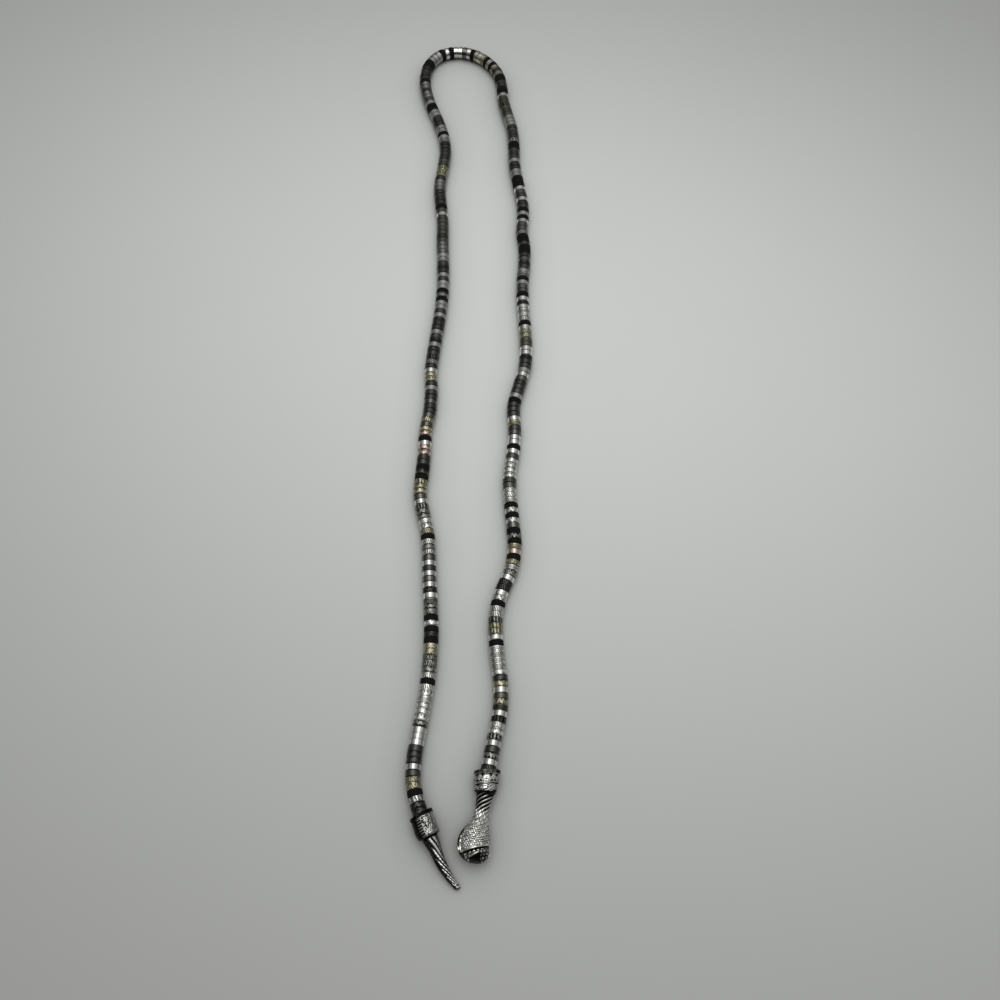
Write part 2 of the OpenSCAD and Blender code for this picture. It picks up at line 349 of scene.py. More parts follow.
ringPatterns = dict(
    scroll=dict(cell=2.1, width=0.24, slope=0.24, cut=False, strokes=[
        arc(0.5, 0.2, 0.36, 0.45, -40, 235), arc(1.5, -0.2, 0.36, 0.45, 140, 415),
        stroke((0.9, 0.7), (1.15, -0.7))]),
    leaf=dict(cell=1.57, width=0.2, slope=0.24, cut=False, strokes=[
        arc(0.15, 0.1, 0.85, 0.8, -65, 50), arc(1.4, -0.1, 0.85, 0.8, 115, 230),
        stroke((0.7, -0.2), (0.9, 0.2))]),
    roundel=dict(cell=1.88, width=0.24, slope=0.22, cut=False, strokes=[
        arc(0.94, 0, 0.62, 0.58, 0, 360), stroke((0.8, 0), (1.08, 0)), stroke((0, -0.7), (0, 0.7))]),
    zigzag=dict(cell=1.57, width=0.26, slope=0.22, cut=False, strokes=[
        stroke((0, -0.66), (0.78, 0.66), (1.57, -0.66)), stroke((0.75, -0.6), (0.85, -0.3))]),
    vine=dict(cell=2.35, width=0.22, slope=0.22, cut=False, strokes=[
        arc(0.6, 0, 0.6, 0.5, 0, 180), arc(1.77, 0, 0.58, 0.5, 180, 360), arc(0.6, -0.35, 0.25, 0.3, 60, 330),
        arc(1.77, 0.35, 0.25, 0.3, -120, 150)]),
    curls=dict(cell=2.1, width=0.24, slope=0.2, cut=False, strokes=[
        arc(0.6, 0.1, 0.5, 0.52, 150, 430), arc(0.6, 0.15, 0.1, 0.1, 0, 360),
        arc(1.6, -0.3, 0.42, 0.4, -20, 170), arc(1.55, 0.55, 0.3, 0.12, 0, 360)]),
    scales=dict(cell=1.34, width=0.2, slope=0.2, cut=False, strokes=[
        arc(0.67, -0.85, 0.62, 0.62, 10, 170), arc(0, -0.25, 0.62, 0.62, 0, 90),
        arc(1.34, -0.25, 0.62, 0.62, 90, 180), arc(0.67, 0.3, 0.62, 0.5, 10, 170)]),
    chevrons=dict(cell=0.94, width=0.24, slope=0.2, cut=False, strokes=[
        stroke((0.1, -0.65), (0.6, 0), (0.1, 0.65))]),
    squares=dict(cell=0.63, width=0.12, slope=0.14, cut=True, strokes=[
        stroke((0, -0.85), (0, 0.85)), stroke((0, -0.3), (0.63, -0.3)), stroke((0, 0.35), (0.63, 0.35))]),
    slants=dict(cell=0.94, width=0.2, slope=0.18, cut=True, strokes=[stroke((0.1, -0.8), (0.7, 0.8))]),
)


# The rings

# one letter a ring, one word a run, from the tail's cup to the head's
ringChart = """
    DDDPKAADSD DDSSSUPPPP PPKPUUUAAK DKPKUUUSDS NSDSNPUPKA PPUUUSNAAA KDKDDRRSKR
    ANANDDNDDG DAASDGDDDG DDGDDDGDGG KUKGGDGDDD GGLLLVDVVV VVSNKDDDDL LLDAAAVVDD
    DDDGGKGGDD DGGKKGVLLD LLKDDDDKKG GGKPKSSNSK ASAKGKAVGK KDDKKSVVVV VVGGGVVDDG
    KKDDVGDDGG KKKSNDSDDK GKSNNGKKDK KDNDDGGKGN NKSDSPPPKS AAVVSSDDDG SNDDDGKDDD
    SADNSSKSVP PPPVVPPPKP KPNKUKARKA PUSDDSPKPP UAAPKPPPPP DASVAVSDPP USDUSDD
""".split()

# engraved is how often a ring of that finish carries a pattern, and depth is how deep it is cut;
# a turned ring has plain lines round it instead
ringFinishes = dict(
    K=dict(name="mattBlackLacquer", plate="#12120f", recess="#0b0b0a", rough=0.7, brushed=0.15,
           engraved=0, depth=0.1, metal=0.0, gloss=0.16),
    D=dict(name="gunmetalPlate", plate="#53534f", recess="#1a1a19", rough=0.3, brushed=0.5,
           engraved=0.4, depth=0.1, metal=1.0),
    N=dict(name="polishedGunmetalPlate", plate="#74726b", recess="#1b1a19", rough=0.18, brushed=0.2,
           engraved=0, depth=0.1, metal=1.0),
    G=dict(name="satinNickelPlate", plate="#acaca6", recess="#4a4b49", rough=0.45, brushed=1.0,
           engraved=0.15, depth=0.06, metal=1.0),
    S=dict(name="polishedSilverPlate", plate="#dfded7", recess="#4a4a48", rough=0.17, brushed=0.25,
           engraved=0, depth=0.1, metal=1.0),
    P=dict(name="engravedSilverPlate", plate="#e8e7e0", recess="#7c7b75", rough=0.24, brushed=0.3,
           engraved=1, depth=0.1, metal=1.0),
    U=dict(name="engravedOxidisedSilver", plate="#9a9992", recess="#1b1b1a", rough=0.26, brushed=0.3,
           engraved=1, depth=0.15, metal=1.0),
    A=dict(name="engravedAntiqueGold", plate="#bdb89e", recess="#67634c", rough=0.27, brushed=0.3,
           engraved=1, depth=0.12, metal=1.0),
    R=dict(name="roseSilverPlate", plate="#d3c0b2", recess="#3a322e", rough=0.26, brushed=0.3,
           engraved=0.7, depth=0.12, metal=1.0),
    V=dict(name="darkOliveBrassPlate", plate="#64645a", recess="#24241d", rough=0.32, brushed=0.6,
           engraved=0.3, depth=0.1, metal=1.0),
    L=dict(name="turnedGreyNickel", plate="#979792", recess="#333332", rough=0.36, brushed=0.8,
           turned=True, depth=0.1, metal=1.0),
)

ringRelief = dict(rim=0.87, bevel=0.1, longer=0.1, tilt=0.022, shift=0.05, warp=0.13, dents=0.012, seed=11)
ringMesh = dict(fineColumns=84, fineRows=11, columns=48, rows=2, collarColumns=16)
collar = dict(radius=2.62, bore=2.3, reach=0.3)
patternNames = sorted(ringPatterns)
chance = np.random.default_rng(ringRelief["seed"]).random((len(ringAt), 8))


# polishing lines 0.09 mm apart that fade in and out over 4 mm, and tarnish in blotches of 1.2 mm
polish = dict(lineSpacing=0.09, lineFade=4, lineDepth=0.02, blotch=1.2)


def platedMetal(look):
    # plated brass: bright on the raised parts, darker in what is cut, with fine polishing lines round it
    material = newMaterial(look["name"])
    tree = material.node_tree
    relief, tone, along = [addNode(tree, "ShaderNodeAttribute", {"attribute_name": key}).outputs["Fac"]
                           for key in ("relief", "tone", "along")]
    spot = addNode(tree, "ShaderNodeTexCoord").outputs["Object"]
    slow = addNode(tree, "ShaderNodeVectorMath", {"operation": "SCALE"},
                   {0: spot, "Scale": 1000 / polish["lineFade"]})
    across = addNode(tree, "ShaderNodeMath", {"operation": "MULTIPLY"},
                     {0: along, 1: 1 / polish["lineSpacing"]})
    fast = addNode(tree, "ShaderNodeCombineXYZ", {}, {0: across.outputs[0]})
    lineSpot = addNode(tree, "ShaderNodeVectorMath", {"operation": "ADD"},
                       {0: slow.outputs[0], 1: fast.outputs[0]})
    lines = addNode(tree, "ShaderNodeTexNoise", {}, {"Vector": lineSpot.outputs[0], "Scale": 1, "Detail": 3})
    cloud = addNode(tree, "ShaderNodeTexNoise", {},
                    {"Vector": spot, "Scale": 1000 / polish["blotch"], "Detail": 5})
    # tarnish gathers low in the pattern and in blotches
    low = addNode(tree, "ShaderNodeMapRange", {}, {"Value": relief, "From Min": 0.15, "From Max": 0.85})
    patch = addNode(tree, "ShaderNodeMapRange", {},
                    {"Value": cloud.outputs["Fac"], "From Min": 0.3, "From Max": 0.62,
                     "To Min": 0.75, "To Max": 1})
    clean = addNode(tree, "ShaderNodeMath", {"operation": "MULTIPLY"},
                    {0: low.outputs[0], 1: patch.outputs[0]})
    colour = addNode(tree, "ShaderNodeMix", {"data_type": "RGBA"},
                     {0: clean.outputs[0], 6: toLinear(look["recess"]), 7: toLinear(look["plate"])})
    bright = addNode(tree, "ShaderNodeHueSaturation", {}, {"Color": colour.outputs[2], "Value": tone})
    rough = addNode(tree, "ShaderNodeMapRange", {},
                    {"Value": lines.outputs["Fac"], "From Min": 0.25, "From Max": 0.75,
                     "To Min": look["rough"] * 0.8, "To Max": look["rough"] * 1.25})
    dull = addNode(tree, "ShaderNodeMapRange", {}, {"Value": clean.outputs[0], "To Min": 0.2, "To Max": 0})
    roughness = addNode(tree, "ShaderNodeMath", {"operation": "ADD"},
                        {0: rough.outputs[0], 1: dull.outputs[0]})
    bump = addNode(tree, "ShaderNodeBump", {},
                   {"Height": lines.outputs["Fac"], "Distance": polish["lineDepth"] * mm,
                    "Strength": 0.25 * look["brushed"]})
    surface = addNode(tree, "ShaderNodeBsdfPrincipled", {},
                      {"Base Color": bright.outputs[0], "Metallic": look["metal"],
                       "Roughness": roughness.outputs[0], "Specular IOR Level": look.get("gloss", 0.5),
                       "Normal": bump.outputs[0]})
    addNode(tree, "ShaderNodeOutputMaterial", {}, {"Surface": surface.outputs[0]})
    return material


# the collar in a joint of two unlike rings: dull, nearly black, with a little warmth
collarLook = dict(name="blackenedBrass", plate="#33312d", recess="#0d0c0b", rough=0.5, brushed=0.5, metal=1.0)


def directions(along):
    # side and up, square to the way that a ring or casting points
    along = along / np.linalg.norm(along)
    side = np.cross((0, 0, 1), along)
    side = side / np.linalg.norm(side)
    return along, side, np.cross(along, side)


def turnedRows(middle, frameOf, xs, radii, columns):
    # one closed row of points for each x, seam underneath
    along, side, up = frameOf
    a = -np.pi + 2 * np.pi * np.arange(columns) / columns
    out = np.cos(a)[:, None] * up + np.sin(a)[:, None] * side
    return middle + xs[..., None] * along + radii[..., None] * out


def ringFrame(k):
    # where ring k sits: a hair off the axis and a little tilted, as far as its joints allow
    s = ringAt[k]
    half = tube["ringLength"] / 2
    along, side, up = directions(axisAt(s + half) - axisAt(s - half))
    gaps = np.diff(ringAt[max(k - 1, 0):k + 2]) - tube["ringLength"]
    spare = max(gaps.min() - tube["radius"] * bendAt(s) * tube["ringPitch"], 0)
    most = min(ringRelief["tilt"], 0.4 * spare / tube["radius"])
    sway, nod, east, north = (2 * chance[k, :4] - 1) * (most, most, ringRelief["shift"], ringRelief["shift"])
    middle = axisAt(s) + east * side + north * up
    length = tube["ringLength"] + min(ringRelief["longer"], 0.4 * spare)
    return middle, directions(along + sway * side + nod * up), length


def patternOf(k, letter):
    # neighbours of one finish mostly share their pattern
    first = k
    while first > 0 and allLetters[first - 1] == letter and chance[first, 5] < 0.4:
        first -= 1
    if chance[first, 6] >= ringFinishes[letter]["engraved"]:
        return None
    return patternNames[int(chance[first, 7] * len(patternNames))]


def ringShape(k, letter, length):
    # rows along the ring and its bore: places along, radii, and how high each point is in the pattern
    turned = ringFinishes[letter].get("turned", False)
    name = None if turned else patternOf(k, letter)
    fine = turned or name is not None
    keys = ("fineColumns", "fineRows") if fine else ("columns", "rows")
    columns, crossRows = [ringMesh[key] for key in keys]
    half, bevel, radius = length / 2, ringRelief["bevel"], tube["radius"]
    xs = np.linspace(bevel - half, half - bevel, crossRows)
    turn = np.arange(columns) / columns
    a = 2 * np.pi * turn
    heights = np.ones((crossRows, columns))
    y = np.repeat(xs[:, None] / (half - bevel), columns, 1)
    dents = 0
    if turned:
        heights[1:-1:2] = 0.2
    elif fine:
        pattern = ringPatterns[name]
        cells = round(2 * np.pi * radius / pattern["cell"])
        x = (turn * cells + chance[k, 4]) % 1 * pattern["cell"]
        # hand-cut: the strokes wander a little
        warp = ringRelief["warp"]
        x = x + warp * np.sin(3 * a + 9 * chance[k, 0]) + warp * np.sin(7 * a + 3 * y + 9 * chance[k, 1])
        raised = strokeHeight(x, y + warp * np.sin(5 * a + 9 * chance[k, 2]), pattern)
        heights = 1 - raised if pattern["cut"] else raised
        heights = np.maximum(heights, smoothStep(ringRelief["rim"] - 0.05, ringRelief["rim"], abs(y)))
        dents = ringRelief["dents"] * np.sin(11 * a + 4 * y + 9 * chance[k, 3]) * np.sin(4 * a - 5 * y)
    radii = radius + dents - ringFinishes[letter]["depth"] * (1 - heights)
    # an edge row at each end, and two rows for the bore
    row = np.ones(columns)
    edge, bore = (radius - bevel) * row, tube["bore"] * row
    allX = np.concatenate([[-half], xs, [half, half, -half]])[:, None] * row
    allR = np.vstack([edge, radii, edge, bore, bore])
    allH = np.vstack([row, heights, row, 0 * row, 0 * row])
    return allX, allR, allH


def collarShape(length):
    xs = np.array([-0.5, 0.5, 0.5, -0.5]) * length
    radii = np.array([collar["radius"]] * 2 + [collar["bore"]] * 2)
    ones = np.ones((4, ringMesh["collarColumns"]))
    return xs[:, None] * ones, radii[:, None] * ones, ones


allLetters = "".join(ringChart)
ringMaterials = {letter: platedMetal(look) for letter, look in ringFinishes.items()}
collarMaterial = platedMetal(collarLook)


def addRingRun(number):
    perRun = tube["ringsPerRun"]
    first, last = (number - 1) * perRun, min(number * perRun, len(ringAt)) - 1
    letters = sorted(set(allLetters[first:last + 1]))
    shapes = []
    for k in range(first, last + 1):
        middle, axes, length = ringFrame(k)
        shapes.append((middle, axes, ringShape(k, allLetters[k], length), letters.index(allLetters[k]), k))
        if k + 1 < len(ringAt):
            a, b = axisAt(ringAt[k]), axisAt(ringAt[k + 1])
            length = np.linalg.norm(b - a) - tube["ringLength"] + 2 * collar["reach"]
            alike = allLetters[k] == allLetters[k + 1]
            slot = letters.index(allLetters[k]) if alike else len(letters)
            shapes.append(((a + b) / 2, directions(b - a), collarShape(length), slot, k))
    places, faces, maps, slots = [], [], [], []
    marks = dict(relief=[], tone=[], along=[])
    count = 0
    for n, (middle, axes, (xs, radii, heights), slot, k) in enumerate(shapes):
        rows, columns = xs.shape
        places.append(turnedRows(middle, axes, xs, radii, columns).reshape(-1, 3))
        faces.append(gridFaces(rows, columns, count, True))
        maps.append(gridMap(rows, columns, n / len(shapes), (n + 0.96) / len(shapes), True))
        slots.append(np.full(len(faces[-1]), slot))
        marks["relief"].append(heights.ravel())
        marks["tone"].append(np.full(heights.size, 0.85 + 0.3 * chance[k, 5]))
        marks["along"].append(xs.ravel() + k * tube["ringPitch"])
        count += rows * columns
    piece = makeMesh("ringRun%02d" % number, np.vstack(places), np.vstack(faces), np.vstack(maps),
                     {key: np.concatenate(values) for key, values in marks.items()})
    for letter in letters:
        piece.data.materials.append(ringMaterials[letter])
    piece.data.materials.append(collarMaterial)
    piece.data.polygons.foreach_set("material_index", np.concatenate(slots).astype(np.int32))
    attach(piece, "root")
    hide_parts("ring_run_%02d" % number)
    return len(piece.data.loops) - 2 * len(piece.data.polygons)


ringTriangles = sum(addRingRun(number) for number in range(1, len(ringChart) + 1))
print("the rings are made, with", ringTriangles, "triangles")


# The two castings: a cup with a sunk mouth, then a body that is turned about its own axis

cups = dict(lip=1.1, mouth=4.0, flare=1.6, seat=3.25, seatTop=2.3, seatFloor=3.6,
            bevel=0.12, groove=0.4, step=0.2, foot=0.45)
casting = dict(spacing=0.115, insideSpacing=0.6, blend=1.2, poleRadius=0.1, mapMargin=0.01, sharpAngle=50)


def finePath(corners, spacing):
    # points in even steps along a profile
    p = np.array(corners, float)
    spans = []
    for a, b in zip(p, p[1:]):
        steps = max(1, round(np.linalg.norm(b - a) / spacing))
        spans.append(a + (b - a) * np.arange(steps)[:, None] / steps)
    return np.vstack(spans + [p[-1:]])


def cupProfile(part):
    # distance from the rim and radius: from the seat's floor out to the rim, then down outside to the body
    c, radius, length = cups, part["cupRadius"], part["cupLength"]
    inside = [(c["seatFloor"], casting["poleRadius"]), (c["seatFloor"], c["seat"]), (c["seatTop"], c["seat"]),
              (c["flare"], c["mouth"]), (0, c["mouth"])]
    wall, slim, waist = radius - c["step"], radius - part["slim"], part["waist"]
    outside = [(0, radius - c["bevel"]), (c["bevel"], radius), (c["lip"], radius),
               (c["lip"] + 0.3, radius - c["groove"]), (c["lip"] + 1.2, wall), (waist - 0.7, wall),
               (waist - 0.1, slim), (waist + 0.5, slim + 0.1), (length - 0.75, slim),
               (length - 0.25, slim - c["foot"]), (length, part["body"][0][1])]
    return finePath(inside, casting["insideSpacing"]), finePath(outside, casting["spacing"])[:-1]


def wayOf(heading, rise=0.0):
    a = np.radians(heading)
    flat = np.sqrt(1 - rise**2)
    return np.array([np.cos(a) * flat, np.sin(a) * flat, rise])


def castGrid(part, profile, around):
    # a closed row for each place in the profile; the cup's axis bends into the body's
    w, radii = profile.T
    cupWay, bodyWay = wayOf(part["cupHeading"]), wayOf(part["bodyHeading"], part["rise"])
    rim = np.array([*part["rim"], part["cupRadius"]])
    past = (w - part["cupLength"])[:, None]
    middle = rim + np.minimum(w[:, None], part["cupLength"]) * cupWay + np.maximum(past, 0) * bodyWay
    share = smoothStep(-casting["blend"], casting["blend"], past)
    pairs = zip(directions(cupWay)[1:], directions(bodyWay)[1:])
    side, up = [(1 - share) * a + share * b for a, b in pairs]
    middle = middle + np.interp(past, *np.array(part["aside"], float).T) * side
    # the rim may stand a little askew, which fades out along the cup
    askew = part["lean"] * np.clip(-past, 0, None) / part["cupLength"] * radii[:, None] * np.sin(around)
    broad = 1 + (part["broad"] - 1) * share
    c, s = np.cos(around)[None, :, None], np.sin(around)[None, :, None]
    out = c * up[:, None] + s * (broad * side)[:, None]
    return middle[:, None] + radii[:, None, None] * out + askew[..., None] * cupWay


def outward(places):
    # the surface's own direction at each point of a grid that is closed round its columns
    alongRows = np.gradient(places, axis=0)
    roundColumns = np.roll(places, -1, 1) - np.roll(places, 1, 1)
    n = np.cross(alongRows, roundColumns)
    return n / np.maximum(np.linalg.norm(n, axis=2, keepdims=True), 1e-9)


def endFaces(rows, columns):
    # triangles from the first and the last row of a grid to the two points that follow it, and their map
    i = np.arange(columns)
    after, last = (i + 1) % columns, (rows - 1) * columns
    tips, none = rows * columns + 0 * i, 0 * i - 1
    faces = [np.stack([tips, i, after, none], 1), np.stack([last + i, tips + 1, last + after, none], 1)]
    u, flat = i / columns, np.zeros(columns)
    v = casting["mapMargin"] + flat
    maps = [np.stack([u, flat, u, v, u + 1 / columns, v, flat, flat], 1),
            np.stack([u, 1 - v, u, 1 + flat, u + 1 / columns, 1 - v, flat, flat], 1)]
    return np.vstack(faces), np.vstack(maps).reshape(-1, 4, 2)


def addCasting(name, node, part, relief):
    around = -np.pi + 2 * np.pi * np.arange(part["columns"]) / part["columns"]
    inside, outside = cupProfile(part)
    profile = np.vstack([inside, outside, part["bodyProfile"](part) + (part["cupLength"], 0)])
    places = castGrid(part, profile, around)
    worked = (np.arange(len(profile)) > len(inside))[:, None]
    w, r = profile[:, :1] + 0 * around, profile[:, 1:] + 0 * around
    heights, clean = relief(part, w, around + 0 * w, r)
    heights, clean = heights * worked, np.where(worked, clean, 0.1)
    places = places + outward(places) * heights[..., None]
    rows, columns = heights.shape
    ends = [places[0].mean(0), places[-1].mean(0)]
    closing, closingMap = endFaces(rows, columns)
    margin = casting["mapMargin"]
    piece = makeMesh(name, np.vstack([places.reshape(-1, 3), ends]),
                     np.vstack([gridFaces(rows, columns), closing]),
                     np.vstack([gridMap(rows, columns, margin, 1 - margin), closingMap]),
                     dict(relief=np.append(clean.ravel(), [0.1, 0.5])), casting["sharpAngle"])
    piece.data.materials.append(castSilver)
    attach(piece, "root")
    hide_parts(node)
    return len(piece.data.loops) - 2 * len(piece.data.polygons)


# a cast skin: grain 0.35 mm across, and lumps of 1.6 mm in how well it was polished
castLook = dict(plate="#e5e4dc", recess="#151513", rough=0.2, recessRough=0.5, grain=0.35, grainDepth=0.03,
                lumps=1.6, wear=0.12)


def oxidisedCastSilver(look):
    # cast alloy with bright plate on what stands proud, and nearly black oxide left in the recesses; the
    # relief value it reads holds painted shade as well
    material = newMaterial("oxidisedCastSilver")
    tree = material.node_tree
    relief = addNode(tree, "ShaderNodeAttribute", {"attribute_name": "relief"}).outputs["Fac"]
    spot = addNode(tree, "ShaderNodeTexCoord").outputs["Object"]
    grain = addNode(tree, "ShaderNodeTexNoise", {},
                    {"Vector": spot, "Scale": 1000 / look["grain"], "Detail": 3})
    lumps = addNode(tree, "ShaderNodeTexNoise", {},
                    {"Vector": spot, "Scale": 1000 / look["lumps"], "Detail": 4})
    worn = addNode(tree, "ShaderNodeMapRange", {},
                   {"Value": lumps.outputs["Fac"], "From Min": 0.3, "From Max": 0.7,
                    "To Min": -look["wear"], "To Max": look["wear"]})
    shifted = addNode(tree, "ShaderNodeMath", {"operation": "ADD"}, {0: relief, 1: worn.outputs[0]})
    clean = addNode(tree, "ShaderNodeMapRange", {},
                    {"Value": shifted.outputs[0], "From Min": 0.2, "From Max": 0.8})
    colour = addNode(tree, "ShaderNodeMix", {"data_type": "RGBA"},
                     {0: clean.outputs[0], 6: toLinear(look["recess"]), 7: toLinear(look["plate"])})
    roughness = addNode(tree, "ShaderNodeMapRange", {},
                        {"Value": clean.outputs[0], "To Min": look["recessRough"], "To Max": look["rough"]})
    bump = addNode(tree, "ShaderNodeBump", {},
                   {"Height": grain.outputs["Fac"], "Distance": look["grainDepth"] * mm, "Strength": 0.6})
    surface = addNode(tree, "ShaderNodeBsdfPrincipled", {},
                      {"Base Color": colour.outputs[2], "Metallic": 1.0, "Roughness": roughness.outputs[0],
                       "Normal": bump.outputs[0]})
    addNode(tree, "ShaderNodeOutputMaterial", {}, {"Surface": surface.outputs[0]})
    return material


castSilver = oxidisedCastSilver(castLook)


def chanceOf(i, j):
    # an even-handed number from 0 to 1 for each cell of a pattern
    v = np.sin(i * 12.9898 + j * 78.233) * 43758.5453
    return v - np.floor(v)


def bandStrokes(w, a, r, band, leaned):
    # a band of ornament round a cup: 1 on its raised strokes; leaned is w along the strokes' own slant
    raised = np.zeros(w.shape)
    outside = r > cups["mouth"] + 0.05
    rows = np.nonzero((abs(w[:, 0] - band["middle"]) < band["reach"] + 0.3) & outside[:, 0])[0]
    x = (a[rows] - np.radians(band["turn"])) / (2 * np.pi) * band["units"] * band["cell"]
    raised[rows] = strokeHeight(x, leaned[rows] - band["middle"], band)
    return raised, mound(w - band["middle"], band["reach"] - 0.15, 0.15) * outside


def fan(x, y, reach, start, end, leaves, inner=0.25):
    # leaves that spread from one foot, from the angle start round to end
    spread = np.radians(np.linspace(start, end, leaves))
    return [stroke((x + inner * reach * np.cos(a), y + inner * reach * np.sin(a)),
                   (x + reach * np.cos(a), y + reach * np.sin(a))) for a in spread]


# The head

snakeHead = dict(
    rim=(9.6, -177.5), cupRadius=5.0, cupLength=8.4, cupHeading=-96, bodyHeading=-101, rise=0.8 / 19.2,
    lean=-0.13, slim=0.7, waist=5.45, columns=236, broad=1.05, bluntAt=19.2, skull=5.8, bluntness=2.5,
    # distance past the cup with the body's radius, and with how far its axis lies to the side
    body=[(0, 3.4), (2, 3.05), (4.5, 2.75), (6.4, 2.65), (9, 3.05), (11.5, 3.83), (14, 4.87), (16.5, 5.57),
          (19.2, 5.8)],
    aside=[(0, 0), (11, 0), (14.5, -0.5), (18, -0.7), (20, -0.4), (22.5, 0.1), (25, 0.6)],
    # palmettes and small flowers over a row of dashes, then long rings with a curl after each
    leafBand=dict(
        middle=3.3, reach=1.85, units=5, turn=-36, cell=6.0, width=0.28, slope=0.22, depth=0.3,
        strokes=[*fan(3.1, 0.35, 1.75, 190, 350, 9, 0.6), arc(3.1, 0.3, 0.6, 0.5, 180, 360),
                 stroke((1.7, 0.7), (4.5, 0.7)), *fan(0.1, -0.45, 0.95, 0, 315, 8, 0.4),
                 arc(1.35, 0.25, 0.2, 0.2, 0, 360), arc(4.85, 0.25, 0.2, 0.2, 0, 360),
                 *[stroke((x, 1.25), (x + 0.55, 1.25)) for x in np.arange(0.2, 6, 1.0)]]),
    ovalBand=dict(
        middle=6.75, reach=1.4, units=3, turn=-53, cell=9.4, width=0.32, slope=0.22, depth=0.31,
        strokes=[arc(3.4, 0, 2.6, 1.05, 0, 360), arc(3.3, -0.1, 1.5, 0.28, 0, 360),
                 arc(6.5, 0.0, 1.1, 1.1, -120, 170), arc(6.4, 0.15, 0.3, 0.3, 0, 360),
                 *fan(8.5, 1.1, 2.1, 225, 315, 5, 0.4)]),
    ridges=8, twist=0.48, ridgeDepth=0.46, ridgeFade=(11, 14.5), brokenFrom=(4.5, 8), shoulderScales=13,
    netRows=16, netColumns=35, netDepth=0.26, netSkew=0.02, netTilt=1.4,
    # raised edges, the grooves beside them, and the half width and slope of such an edge
    raised=0.14, groove=0.5, edging=(0.14, 0.2), frontRaised=0.12, frontEdging=(0.16, 0.2),
    # slanted lines over the head, as how far they move per mm to the side, and where they cross its middle
    frontLine=(0.44, 20.6), lipLine=(0.52, 21.7), noseLine=(0.7, 22.75),
    roll=8, panel=63, crownHalf=1.35, plateSide=23, plateSideAt=19.3, beadRows=1.1, beadColumns=1.3,
    nostrilAt=23.9, nostrilSide=0.9, nostrilApart=1.1, mouthDrop=1.2, chinFrom=(20, 22),
    eyeAt=21.4, eyeTurn=84, eye=(0.9, 1.2), eyeHeight=0.55,
)


def headProfile(part):
    # neck and skull, then the blunt snout
    skull, power = part["skull"], part["bluntness"]
    flank = spline(part["body"], 4)
    radii = np.append(skull * np.cos(np.linspace(0, np.pi / 2, 24)[1:-1]), casting["poleRadius"])
    ahead = skull * (1 - (radii / skull)**power)**(1 / power)
    return finePath(np.vstack([flank, np.stack([part["bluntAt"] + ahead, radii], 1)]), casting["spacing"])


def scaleTiles(rows, columns, fullness, tilt=0):
    # scales in offset rows, no two quite alike or level: from 0 at an edge to 1 at the fullest middle
    row = np.floor(rows)
    column = columns + 0.5 * (row % 2)
    v, u = 2 * (rows - row) - 1, 2 * (column % 1) - 1
    dome = (1 - abs(v)**fullness) * (1 - abs(u)**fullness)
    own, lean = chanceOf(row, np.floor(column)), chanceOf(np.floor(column), row) - 0.5
    return dome * (0.5 + 0.5 * own + tilt * v * lean)


def pastLine(line, t, q):
    # how far a place on the head lies past a slanted line
    slant, middle = line
    return t + slant * q - middle


def neckAndScales(part, t, a, rightFlank):
    # twisted ridges on the neck, broader and broken where they give way to the skull's rows of scales
    turn = a + part["twist"] * t
    ridge = part["ridges"] * turn / (2 * np.pi)
    broken = smoothStep(*part["brokenFrom"], t)
    tiles = scaleTiles(ridge + 0.5, part["shoulderScales"] * a / (2 * np.pi), 4.5, 0.5)
    crest = (1 - broken) * (0.5 + 0.5 * np.cos(2 * np.pi * ridge))**1.2 + broken * tiles
    neck = 1 - smoothStep(*part["ridgeFade"], t)
    ridges = -part["ridgeDepth"] * (1 - 0.5 * broken) * smoothStep(-0.8, 0.6, t) * neck * (1 - crest)
    rows = part["netRows"] * turn / (2 * np.pi)
    columns = part["netColumns"] * (a - part["netSkew"] * t) / (2 * np.pi)
    tiles = scaleTiles(rows, columns, 5, part["netTilt"])
    return ridges, -part["netDepth"] * (1 - neck) * (1 - tiles) * (1 + 0.5 * rightFlank)


def crownPlate(part, scales, t, q, r, local):
    # the crown's plate of scales has a raised edge, with a groove outside it on the left
    edging, raised, frontRaised = part["edging"], part["raised"], part["frontRaised"]
    front = pastLine(part["frontLine"], t, q)
    edge = (abs(local) - np.radians(part["panel"])) * r
    side = (local - np.radians(part["plateSide"])) * r
    crown = mound(local, part["crownHalf"], 0.2)
    beforeFront = 1 - smoothStep(0.1, 0.4, front)
    border = mound(edge, *edging) * smoothStep(16.3, 17.0, t)
    inner = mound(side, *edging) * mound(t - part["plateSideAt"], 0.9, 0.3)
    border = np.maximum(border, inner) * beforeFront
    scales = scales * (1 - border) + raised * border
    outside = mound(edge - 0.9, 0.45, 0.25) * smoothStep(13.5, 15.5, t) * (local < 0)
    scales = scales - part["groove"] * outside * beforeFront
    frontEdge = mound(front + 0.2, *part["frontEdging"]) * crown * (edge < 0)
    scales = scales * (1 - frontEdge) + frontRaised * frontEdge
    return scales * (1 - smoothStep(0.1, 0.4, front) * crown)


